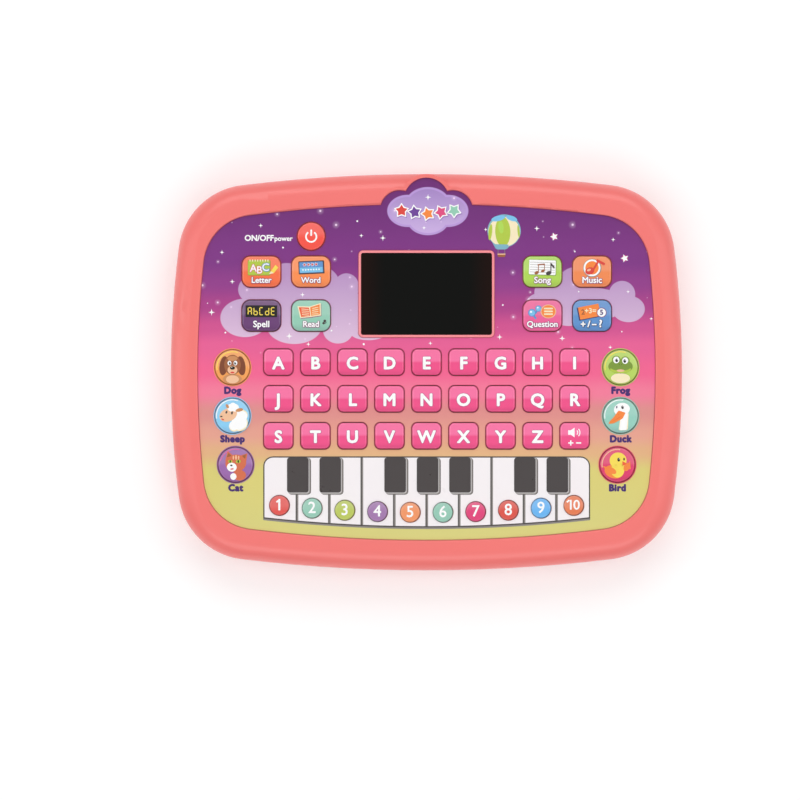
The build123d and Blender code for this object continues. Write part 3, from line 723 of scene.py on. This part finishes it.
captions = {"letter_key": ("Letter", 3.6), "word_key": ("Word", 3.5), "read_key": ("Read", 3.7),
            "song_key": ("Song", 3.9),
            "music_key": ("Music", 3.9), "question_key": ("Question", 3.7)}
keyPrints = {
    "power_button": [
        ("white", [bow(0, -0.2, 2.35, 0.72, 125, 415), card(0, 1.6, 0.75, 2.9, 0.3)]),
    ],
    "letter_key": [
        ("forest", card(-1.0, 1.7, 10.2, 6.9, 0.5)),
        ("leaf", card(-1.1, 1.8, 9.8, 6.5, 0.4)),
        ("cream", [card(-5.1 + 1.15 * index, 5.0, 0.45, 1.0, 0.2) for index in range(8)]),
        ("magenta", words("A", -3.6, 1.4, 4.6, 0.34)), ("white", words("A", -3.6, 1.4, 4.6, 0.08)),
        ("red", words("B", -0.9, 0.6, 4.6, 0.34)), ("white", words("B", -0.9, 0.6, 4.6, 0.08)),
        ("blue", words("C", 1.9, 1.8, 4.8, 0.36)), ("white", words("C", 1.9, 1.8, 4.8, 0.06)),
        ("yellow", patch([(4.2, 0.2), (5.6, -0.7), (7.6, 1.9), (6.3, 3.0)], 0.15)),
        ("cream", patch([(3.4, -1.2), (5.6, -0.7), (4.2, 0.2)], 0.1)),
    ],
    "word_key": [
        ("ink", card(0.2, 1.9, 11.6, 5.9, 0.4, 2.5)),
        ("blue", card(0.1, 1.95, 10.6, 4.9, 0.3, 2.5)),
        ("sky", card(0.1, 0.8, 10.2, 2.2, 0.3, 2.5)),
        ("white", [star(-2.9 + 1.75 * index, 3.05 + 0.08 * index, 1.0, turn=18) for index in range(4)]),
        ("red", [star(-2.9 + 1.75 * index, 3.05 + 0.08 * index, 0.74, turn=18) for index in range(4)]),
        ("white", [oval(-3.6 + 1.2 * index, 0.75 + 0.05 * index, 0.34) for index in range(7)]),
    ],
    "spell_key": [
        ("black", card(0, 2.0, 14.2, 5.3, 0.2)),
        ("yellow", [stroke for index, letter in enumerate("AbCdE")
                    for stroke in readoutLetter(letter, -5.2 + 2.6 * index, 2.0, 1.5, 3.2, 0.42)]),
        ("white", words("Spell", 0, -3.9, 4.0, 0.1)),
    ],
    "read_key": [
        ("plum", patch([(-5.9, 4.0), (-0.6, 3.8), (4.6, 5.4), (4.7, -0.2), (0.2, -0.9), (-4.6, -1.4)], 0.2)),
        ("cream", patch([(-6.1, 4.3), (-0.7, 4.1), (4.4, 5.7), (4.5, 0.1), (0.0, -0.6), (-4.8, -1.1)], 0.2)),
        ("vermilion", patch([(-5.5, 3.8), (-0.9, 3.6), (-0.3, -0.1), (-4.4, -0.6)], 0.15)),
        ("orange", patch([(-0.4, 3.7), (3.9, 5.1), (4.0, 0.6), (0.1, -0.1)], 0.15)),
        ("cream", [card(-2.7 + 0.1 * index, 2.9 - 0.85 * index, 3.3, 0.3, 0.0, -4) for index in range(4)]
         + [card(1.9, 3.5 - 0.9 * index, 2.9, 0.3, 0.0, 14 - 3 * index) for index in range(4)]),
        ("ink", [oval(6.2, -2.4, 0.6), oval(5.6, -3.4, 0.5), card(6.3, -3.4, 1.5, 0.3, 0, 25)]),
    ],
    "song_key": [
        ("forest", card(0.1, 1.8, 12.4, 7.0, 0.5, -2)),
        ("white", card(0, 1.9, 12.0, 6.6, 0.4, -2)),
        ("grey", [card(0, 4.1 - 1.1 * index, 11.2, 0.16, 0, -2) for index in range(5)]),
        ("brown", note(-2.6, -0.5, 2.9, False) + note(0.2, 0.3, 2.6, False) + [card(-0.6, 3.2, 3.1, 0.6, 0.1, 6)]),
        ("ink", note(2.8, -0.7, 3.6)),
    ],
    "music_key": [
        ("grey", oval(0.1, 1.6, 4.1)),
        ("white", oval(0, 1.7, 3.8)),
        ("orange", oval(0, 1.7, 3.0)),
        ("red", [oval(-1.0, 0.3, 2.1, 1.6, 20), card(1.6, 2.6, 0.9, 5.0, 0.2, -32),
                 card(3.9, 4.2, 4.2, 1.1, 0.3, -28)]),
        ("peach", oval(-1.4, 0.7, 0.9, 0.5, 20)),
    ],
    "question_key": [
        ("blue", [oval(-4.7, 1.3, 1.75), card(-3.6, -0.4, 0.9, 2.6, 0.2, 35), oval(-1.8, 3.2, 1.45),
                  card(-2.7, 1.8, 0.8, 1.9, 0.2, -20)]),
        ("sky", [oval(-4.7, 1.3, 1.35), oval(-1.8, 3.2, 1.1)]),
        ("white", [oval(-5.1, 1.7, 0.45), oval(-2.1, 3.6, 0.35)]),
        ("peach", oval(2.7, 1.9, 3.5, 3.1)),
        ("orange", oval(2.7, 1.9, 3.1, 2.75)),
        ("cream", [card(2.7, 3.2 - 1.25 * index, 4.0, 0.72, 0.3) for index in range(3)]),
    ],
    "maths_key": [
        ("navy", card(-1.6, 1.5, 9.6, 5.9, 0.2, 11)),
        ("orange", card(-1.2, 1.8, 9.4, 5.6, 0.3, 11)),
        ("brown", words("2", -4.0, 1.5, 3.2, 0.08)),
        ("cream", words("+3=", -0.7, 2.1, 3.2, 0.08)),
        ("plum", oval(4.3, 1.4, 2.2)), ("white", oval(4.3, 1.4, 1.9)), ("darkPurple", words("5", 4.3, 1.4, 3.2, 0.1)),
        ("navy", [card(-3.9, -3.9, 2.6, 1.0, 0.1), card(-3.9, -3.9, 1.0, 2.6, 0.1),
                  card(-1.3, -3.8, 1.0, 3.6, 0.1, -18),
                  card(1.1, -4.1, 2.5, 1.0, 0.1), words("?", 3.9, -3.8, 4.6, 0.38)]),
        ("white", [card(-4.0, -3.8, 2.2, 0.6, 0.1), card(-4.0, -3.8, 0.6, 2.2, 0.1),
                   card(-1.4, -3.7, 0.55, 3.2, 0.1, -18),
                   card(1.0, -4.0, 2.1, 0.6, 0.1), words("?", 3.8, -3.7, 4.6, 0.16)]),
    ],
    "volume_key": [
        ("white", [patch([(-2.9, 0.5), (-1.7, 0.5), (0.0, -0.7), (0.0, 3.7), (-1.7, 2.5), (-2.9, 2.5)], 0.1),
                   bow(0.0, 1.5, 1.4, 0.42, -42, 42), bow(0.0, 1.5, 2.4, 0.42, -42, 42),
                   card(-1.7, -3.2, 2.3, 0.6, 0.1), card(-1.7, -3.2, 0.6, 2.3, 0.1), card(1.8, -3.2, 2.3, 0.6, 0.1)]),
    ],
    # on each animal button the first layer, an arc round the upper left of the disc, is a painted highlight
    "dog_button": [
        ("yellow", bow(0, 0, 7.0, 0.4, 70, 190)),
        ("tan", oval(0, -5.2, 4.2, 2.2)),
        ("peach", oval(0, -5.4, 2.9, 1.8)),
        ("umber", [oval(-3.9, 0.7, 1.9, 4.3, -8), oval(3.9, 0.7, 1.9, 4.3, 8)]),
        ("brown", oval(0, 1.1, 3.7, 4.5)),
        ("tan", oval(0, 4.0, 2.3, 1.1)),
        ("peach", oval(0, -1.2, 2.2, 1.9)),
        ("white", [oval(-1.35, 1.9, 0.85, 1.05), oval(1.35, 1.9, 0.85, 1.05)]),
        ("black", [oval(-1.2, 1.8, 0.42, 0.62), oval(1.2, 1.8, 0.42, 0.62), oval(0, -0.3, 1.15, 0.75)]),
        ("red", oval(0, -2.35, 0.9, 0.4)),
        ("white", [oval(-1.05, 2.05, 0.14), oval(1.35, 2.05, 0.14), oval(-0.3, -0.05, 0.25, 0.14)]),
    ],
    "sheep_button": [
        ("white", bow(0, 0, 7.2, 0.4, 70, 190)),
        ("cream", [oval(3.2, -3.2, 3.7), oval(0.8, -4.7, 2.4), oval(4.4, 0.2, 2.5)]),
        ("white", [oval(3.0, -2.9, 3.4), oval(4.5, -0.1, 2.2), oval(2.2, 0.9, 2.5), oval(0.6, -4.4, 2.1),
                   oval(4.2, -3.5, 2.2)]),
        ("peach", oval(-1.9, 0.4, 4.1, 2.9, 22)),
        ("white", [oval(-0.6, 3.7, 1.7), oval(1.2, 3.6, 1.7), oval(0.2, 4.4, 1.5)]),
        ("tan", [oval(3.1, 2.6, 1.7, 0.75, 12), oval(-2.3, 4.3, 0.6, 1.0, 30)]),
        ("ink", [oval(-2.7, 1.6, 0.42, 0.62, -20), oval(-0.2, 1.3, 0.42, 0.7, -10), oval(-5.0, -0.3, 0.55, 0.32, 10)]),
        ("red", oval(-4.4, -1.6, 0.7, 0.25, -18)),
    ],
    "cat_button": [
        ("pink", bow(0, 0, 7.0, 0.35, 75, 165)),
        ("fox", [patch([(-4.7, 1.5), (-3.6, 6.2), (-0.6, 3.8)], 0.3), patch([(1.4, 3.9), (5.4, 5.2), (4.6, 0.5)], 0.3),
                 oval(0.1, 0.7, 4.7, 3.9, 6), oval(1.8, -4.7, 2.9, 2.4)]),
        ("brown", [patch([(-3.9, 3.3), (-3.3, 5.3), (-1.8, 4.0)], 0.2),
                   patch([(2.9, 4.0), (4.7, 4.7), (4.3, 2.6)], 0.2)]),
        ("peach", [oval(0.2, 3.3, 0.4, 1.1), oval(-1.0, 3.2, 0.3, 0.9), oval(1.4, 3.2, 0.3, 0.9)]),
        ("white", [oval(-1.7, -1.1, 2.2, 2.0, -8), oval(-1.0, -5.3, 1.4, 1.5)]),
        ("leaf", [oval(-2.4, 1.5, 0.95, 0.65, -8), oval(1.2, 1.5, 1.1, 0.75, 8)]),
        ("black", [oval(-2.4, 1.5, 0.3, 0.6), oval(1.2, 1.5, 0.32, 0.68), oval(-1.9, -0.3, 0.5, 0.35)]),
        ("red", oval(-1.6, -1.9, 0.8, 0.3, 5)),
    ],
    "frog_button": [
        ("yellow", bow(0, 0, 7.0, 0.4, 70, 190)),
        ("cream", oval(0, -4.9, 4.3, 2.2)),
        ("forest", [oval(0, 0.4, 5.5, 3.2), oval(-1.9, 3.2, 2.0), oval(2.1, 2.9, 2.0)]),
        ("leaf", oval(0, -0.9, 4.6, 1.7)),
        ("forest", oval(0, -0.1, 4.5, 1.4)),
        ("peach", oval(0, -1.5, 1.8, 0.55)),
        ("white", [oval(-1.9, 3.3, 1.4, 1.5), oval(2.1, 3.0, 1.35, 1.45)]),
        ("black", [oval(-1.7, 3.1, 0.6, 0.8), oval(1.9, 2.8, 0.6, 0.8), oval(-0.5, 1.2, 0.15), oval(0.5, 1.2, 0.15)]),
        ("white", [oval(-1.5, 3.45, 0.2), oval(2.1, 3.15, 0.2)]),
    ],
    "duck_button": [
        ("white", bow(0, 0, 7.1, 0.35, 80, 190)),
        ("cream", patch([(0.2, 1.5), (3.7, 1.5), (3.3, -6.4), (-0.9, -6.6)], 0.8)),
        ("white", patch([(0.5, 1.5), (3.5, 1.5), (2.7, -6.4), (-0.6, -6.5)], 0.8)),
        ("white", oval(0.6, 2.9, 3.6, 2.9, 12)),
        ("orange", patch([(-0.9, 2.4), (2.3, 1.4), (0.9, -1.3), (-3.1, -3.4), (-5.5, -3.7), (-4.9, -2.5),
                          (-3.2, -0.8)], 0.4)),
        ("vermilion", [patch([(-4.7, -3.2), (-1.2, -1.3), (1.0, 0.1), (-1.0, -0.9)], 0.05),
                       oval(-1.0, 0.7, 0.25, 0.15, 30)]),
        ("black", oval(0.9, 3.8, 0.55, 0.75, 10)),
        ("white", oval(1.05, 4.1, 0.18)),
        ("navy", oval(-1.7, 3.9, 0.3, 0.55, -10)),
    ],
    "bird_button": [
        ("peach", bow(0, 0, 6.9, 0.4, 80, 190)),
        ("orange", [oval(-1.8, -3.2, 4.1, 2.8, -20), patch([(-6.6, -0.6), (-3.2, -1.2), (-4.2, -3.6)], 0.3),
                    patch([(5.7, 1.9), (3.4, -1.8), (6.0, -2.0)], 0.3)]),
        ("yellow", [oval(0.3, 1.9, 3.8, 3.6), oval(0.1, -2.4, 3.0, 3.4)]),
        ("orange", [oval(-2.6, -2.6, 2.3, 1.3, -30), oval(4.2, -1.0, 1.3, 2.0, -25)]),
        ("vermilion", patch([(2.2, 1.6), (4.4, 0.5), (2.3, -0.5)], 0.2)),
        ("black", [oval(0.6, 2.3, 0.6, 0.85), oval(3.0, 2.5, 0.35, 0.6)]),
        ("white", oval(0.8, 2.6, 0.2)),
    ],
}
captionPrint = {"lift": -3.9, "bold": 0.1, "rim": 0.24}
for node, (text, size) in captions.items():
    keyPrints[node] += outlined(text, 0, captionPrint["lift"], size, captionPrint["bold"], captionPrint["rim"])
numberPrint = {"lift": 0.05, "size": 7.2, "tenSize": 6.2, "bold": 0.1, "spread": 0.85,
               "flags": {1: -0.7, 10: -2.5}, "flagLift": 1.9, "flagWide": 1.5, "flagHigh": 0.75}
for number in range(1, 11):
    size = numberPrint["size" if number < 10 else "tenSize"]
    digits = [words(str(number), 0, numberPrint["lift"], size, numberPrint["bold"], numberPrint["spread"])]
    if number in numberPrint["flags"]:  # the slanted stroke at the head of the one
        x = numberPrint["flags"][number]
        digits.append(card(x, numberPrint["flagLift"], numberPrint["flagWide"], numberPrint["flagHigh"], 0.1, 40))
    keyPrints[f"number_key_{number}"] = [("white", digits)]
letterPrint = {"lift": -0.7, "size": 7.6, "bold": 0.3, "rim": 0.24, "edge": "rose"}
for node in sorted(nodes):
    if len(node) == 5 and node.startswith("key_"):
        keyPrints[node] = outlined(node[-1].upper(), 0, *letterPrint.values())
for node, layers in keyPrints.items():
    printKey(node, layers)
print("key caps printed:", len(keyPrints))


def printFilm(name, layers, x, y):
    printInks(name, "case", layers, (x * mm, y * mm), (plateTop + film["thick"]) * mm)


animalLabel = {"drop": 10.5, "size": 4.1, "bold": 0.3, "spread": 1.12}
buttonRing = {"radius": 8.36, "wide": 0.36}
for node in animalButtons:
    text = node.split("_")[0]
    x, y = spotOf(node)
    label = words(text.capitalize(), 0, 0, animalLabel["size"], animalLabel["bold"], animalLabel["spread"])
    printFilm(text + "_label", [("darkPurple", label)], x, y - animalLabel["drop"])
printFilm("button_rings", [
    (keyPaint[node][0], bow(*spotOf(node), buttonRing["radius"], buttonRing["wide"], 0, 360))
    for node in animalButtons], 0, 0)
printFilm("power_label", [("white", [words("ON/OFF", -5.0, 0, 3.6, 0.12), words("power", 5.9, -0.2, 3.1, 0.08)])],
          -70.2, 60.2)

# cloud badge: five coloured stars, each with a white edge and a soft shadow
badge = {"colours": ["red", "starPurple", "orange", "magenta", "mint"], "pitch": 5.9, "radius": 3.6, "waist": 0.6,
         "core": 0.77, "coreWaist": 0.56, "wave": 0.7, "lean": 18, "turn": 9, "shadow": (0.25, -0.35),
         "x": 0.6, "y": 71.9}
badgeInks = []
for index, colour in enumerate(badge["colours"]):
    x, y = badge["pitch"] * (index - 2), badge["wave"] * math.cos(1.6 * index)
    turn = badge["lean"] + badge["turn"] * (index - 2)
    right, down = badge["shadow"]
    badgeInks += [("lilac", star(x + right, y + down, badge["radius"], 5, badge["waist"], turn)),
                  ("white", star(x, y, badge["radius"], 5, badge["waist"], turn)),
                  (colour, star(x, y, badge["core"] * badge["radius"], 5, badge["coreWaist"], turn))]
printFilm("badge_stars", badgeInks, badge["x"], badge["y"])

printFilm("balloon", [
    ("balloonBlue", [oval(0, 0.6, 7.5, 7.4), patch([(-6.1, -3.2), (5.6, -3.2), (1.0, -7.8), (-3.6, -7.8)], 0.8)]),
    ("cream", oval(0, 0.2, 7.1, 6.7)),
    ("leaf", [oval(-6.2, 0.0, 0.8, 3.6, -6), oval(-0.6, 0.2, 3.4, 6.7, 2), oval(6.5, 0.4, 0.5, 2.8, 6)]),
    ("sky", [oval(-2.6, 6.2, 3.2, 1.2, 14), oval(3.4, 6.2, 2.6, 1.1, -20)]),
    ("lime", oval(-1.4, 2.2, 1.2, 2.8, 6)),
    ("balloonBlue", patch([(-4.4, -5.4), (2.2, -5.6), (0.7, -7.8), (-3.1, -7.8)], 0.5)),
    ("grey", [card(-2.7, -8.8, 0.2, 2.0), card(0.3, -8.8, 0.2, 2.0)]),
    ("brown", card(-1.2, -10.4, 3.4, 1.5, 0.4)),
    ("peach", card(-1.2, -9.9, 3.6, 0.5, 0.2)),
], 34.9, 62.95)

# the larger printed stars: x, y and reach in mm
stars = {
    "pointed": [(57.4, 60.9, 1.9), (89.1, 51.2, 1.9)],
    "bright": [(-96.6, 26.9, 1.6), (-61.7, 16.2, 1.6), (-19.6, 60.3, 1.4), (-91.9, 53.9, 1.1), (-87.3, 40.7, 1.2),
               (-74.5, 65.9, 1.1), (-55.7, 34.8, 1.2), (49.6, 64.6, 1.3), (61.0, 15.2, 1.4), (32.9, 15.8, 1.4),
               (82.6, 11.2, 1.0),
               (83.9, 59.6, 1.0), (26.6, 64.1, 0.9), (90.6, 36.2, 0.9), (101.0, 24.0, 0.9), (1.8, 13.0, 1.0),
               (0.7, 78.6, 1.5), (-1.1, 64.9, 1.0), (-53.1, 12.6, 1.1), (-29.3, 61.4, 1.0)],
    "small": [(-64.5, 56.0, 0.5), (-90.4, 17.8, 0.5), (-42.7, 18.7, 0.5), (-28.2, 12.6, 0.6), (-31.1, 67.9, 0.5),
              (34.3, 30.2, 0.5), (68.4, 36.2, 0.4), (66.7, 54.2, 0.4), (-98.4, 31.0, 0.3), (87.8, 18.2, 0.4)],
}
printFilm("print_stars", [
    ("rose", [oval(x, y, 0.75 * size) for x, y, size in stars["pointed"]]),
    ("white", [star(x, y, size, turn=18) for x, y, size in stars["pointed"]]
     + [star(x, y, size, 4, 0.24) for x, y, size in stars["bright"]]
     + [oval(x, y, 0.8 * size) for x, y, size in stars["small"]]),
    ("white", [oval(x, y, 0.36 * size) for x, y, size in stars["bright"]]),
], 0, 0)

piano = {
    "half": 72.9, "top": -38.4, "side": -65.2, "middle": -69.2, "corner": 3.8, "border": 0.55, "lip": 0.75,
    "keys": 10, "seam": 1.25, "seamLine": 0.4, "hole": 4.73,
    "blackWide": 9.7, "blackHigh": 15.7, "blackAfter": (1, 2, 4, 5, 6, 8, 9),
    # each layer of a black key: ink, shift right and up, extra width and height, corner
    "blackLayers": [("ink", 1.2, -0.5, 0.5, 0.9, 1.5), ("grey", 1.0, -0.4, 0.4, 0.8, 1.4),
                    ("silver", 0.65, -0.2, 0.2, 0.4, 1.2), ("ink", 0.4, 0.0, 0.0, 0.0, 1.1)],
}


def pianoSheet(grow, lower=0.0):
    half, top, side = piano["half"] + grow, piano["top"] + grow, piano["side"] - grow - lower
    bm = card(0, (top + side) / 2, 2 * half, top - side)
    upper = [corner for corner in bm.verts if corner.co.y > top - 0.01]
    bmesh.ops.bevel(bm, geom=upper, offset=piano["corner"] + grow, offset_type="OFFSET", segments=8, profile=0.5,
                    affect="VERTICES", material=-1)
    foot = [edge for edge in bm.edges if max(corner.co.y for corner in edge.verts) < side + 0.01]
    bmesh.ops.subdivide_edges(bm, edges=foot, cuts=30)
    for corner in bm.verts:
        if corner.co.y < side + 0.01:
            corner.co.y += (piano["middle"] - piano["side"]) * (1 - (corner.co.x / half) ** 2)
    bmesh.ops.delete(bm, geom=bm.faces[:], context="FACES_ONLY")
    for number in range(1, 11):
        x, y = spotOf(f"number_key_{number}")
        bmesh.ops.create_circle(bm, cap_ends=False, segments=48, radius=piano["hole"],
                                matrix=Matrix.Translation((x, y, 0)))
    bmesh.ops.triangle_fill(bm, edges=bm.edges[:], use_beauty=True)
    return faceUp(bm)


def pianoSeams(shift, wide):
    strips = []
    for index in range(1, piano["keys"]):
        x = -piano["half"] + keyPitch * index
        foot = piano["side"] + (piano["middle"] - piano["side"]) * (1 - (x / piano["half"]) ** 2)
        strips.append(card(x + shift, (piano["top"] + foot) / 2, wide, piano["top"] - foot))
    return strips


def pianoBlacks(right, up, wider, higher, soften):
    y = piano["top"] - piano["blackHigh"] / 2 + up
    return [card(-piano["half"] + keyPitch * index + right, y, piano["blackWide"] + wider, piano["blackHigh"] + higher,
                 soften) for index in piano["blackAfter"]]


keyPitch = 2 * piano["half"] / piano["keys"]
printFilm("piano_print", [
    ("grey", pianoSheet(piano["border"], piano["lip"])),
    ("ink", pianoSheet(piano["border"])),
    ("ivory", pianoSheet(0.0)),
    ("grey", pianoSeams(0.0, piano["seam"])),
    ("ink", pianoSeams(-piano["seamLine"] / 2, piano["seamLine"])),
] + [(colour, pianoBlacks(*place)) for colour, *place in piano["blackLayers"]], 0.1, 0)
print("film printed")


studio = {
    "paper": "DCDCDC", "glow": 0.33, "half": 4.0, "drop": 0.05, "sky": 0.42,
    # each soft light: place and size in metres, power in watts
    "boxes": {
        "backBox": ((0.0, 1.15, 1.25), (1.8, 0.8), 9.6), "frontBox": ((0.0, -1.0, 1.32), (1.8, 0.8), 7.8),
        "leftBox": ((-1.0, 0.1, 1.3), (0.6, 1.6), 3.0), "rightBox": ((1.0, 0.1, 1.3), (0.6, 1.6), 3.0),
        "leftEdge": ((-1.4, 0.0, 0.32), (0.16, 1.4), 1.9), "rightEdge": ((1.4, 0.0, 0.32), (0.16, 1.4), 1.5),
        "underBox": ((0.2, -0.5, -1.5), (1.6, 1.2), 9.0),
    },
    "lens": 900.0, "sensor": 36.0, "wide": 359.8, "middle": (-11.9, -12.5, 18),
}


def softbox(name, spot, size, power):
    lamp = bpy.data.lights.new(name, "AREA")
    lamp.shape = "RECTANGLE"
    lamp.size, lamp.size_y = size
    lamp.energy = power
    light = bpy.data.objects.new(name, lamp)
    light.location = spot
    light.rotation_euler = (Vector((0, 0, 0.02)) - Vector(spot)).to_track_quat("-Z", "Y").to_euler()
    bpy.context.scene.collection.objects.link(light)


def makeFloor():
    place = Matrix.Translation((0, 0, -studio["drop"] * mm))
    bm = bmesh.new()
    bmesh.ops.create_grid(bm, x_segments=1, y_segments=1, size=studio["half"], matrix=place)
    mesh = bpy.data.meshes.new("studioFloor")
    bm.to_mesh(mesh)
    bm.free()
    floor = bpy.data.objects.new("studioFloor", mesh)
    bpy.context.scene.collection.objects.link(floor)
    paper = moulded("studioPaper", linear(studio["paper"]), rough=0.9, peel=0.0, vary=0.0)
    shader = paper.node_tree.nodes["Principled BSDF"]
    shader.inputs["Emission Color"].default_value = (1, 1, 1, 1)
    shader.inputs["Emission Strength"].default_value = studio["glow"]
    tree = paper.node_tree  # the paper is clear from below, so the back of the case can be looked at
    clear, choice = addNode(tree, "BsdfTransparent"), addNode(tree, "MixShader")
    tree.links.new(addNode(tree, "NewGeometry").outputs["Backfacing"], choice.inputs[0])
    tree.links.new(shader.outputs[0], choice.inputs[1])
    tree.links.new(clear.outputs[0], choice.inputs[2])
    tree.links.new(choice.outputs[0], tree.nodes["Material Output"].inputs["Surface"])
    mesh.materials.append(paper)


def makeLights():
    world = bpy.data.worlds.new("studio")
    world.use_nodes = True
    world.node_tree.nodes["Background"].inputs["Color"].default_value = (1, 1, 1, 1)
    world.node_tree.nodes["Background"].inputs["Strength"].default_value = studio["sky"]
    bpy.context.scene.world = world
    for name, (spot, size, power) in studio["boxes"].items():
        softbox(name, spot, size, power)


def makeCamera():
    x, y, z = studio["middle"]
    away = studio["wide"] * mm * studio["lens"] / studio["sensor"]
    lens = bpy.data.cameras.new("camera")
    lens.lens, lens.sensor_width = studio["lens"], studio["sensor"]
    camera = bpy.data.objects.new("camera", lens)
    camera.location = (x * mm, y * mm, z * mm + away)
    bpy.context.scene.collection.objects.link(camera)
    bpy.context.scene.camera = camera


makeFloor()
makeLights()
makeCamera()
bpy.context.scene.view_settings.view_transform = "Standard"
print("stage ready")
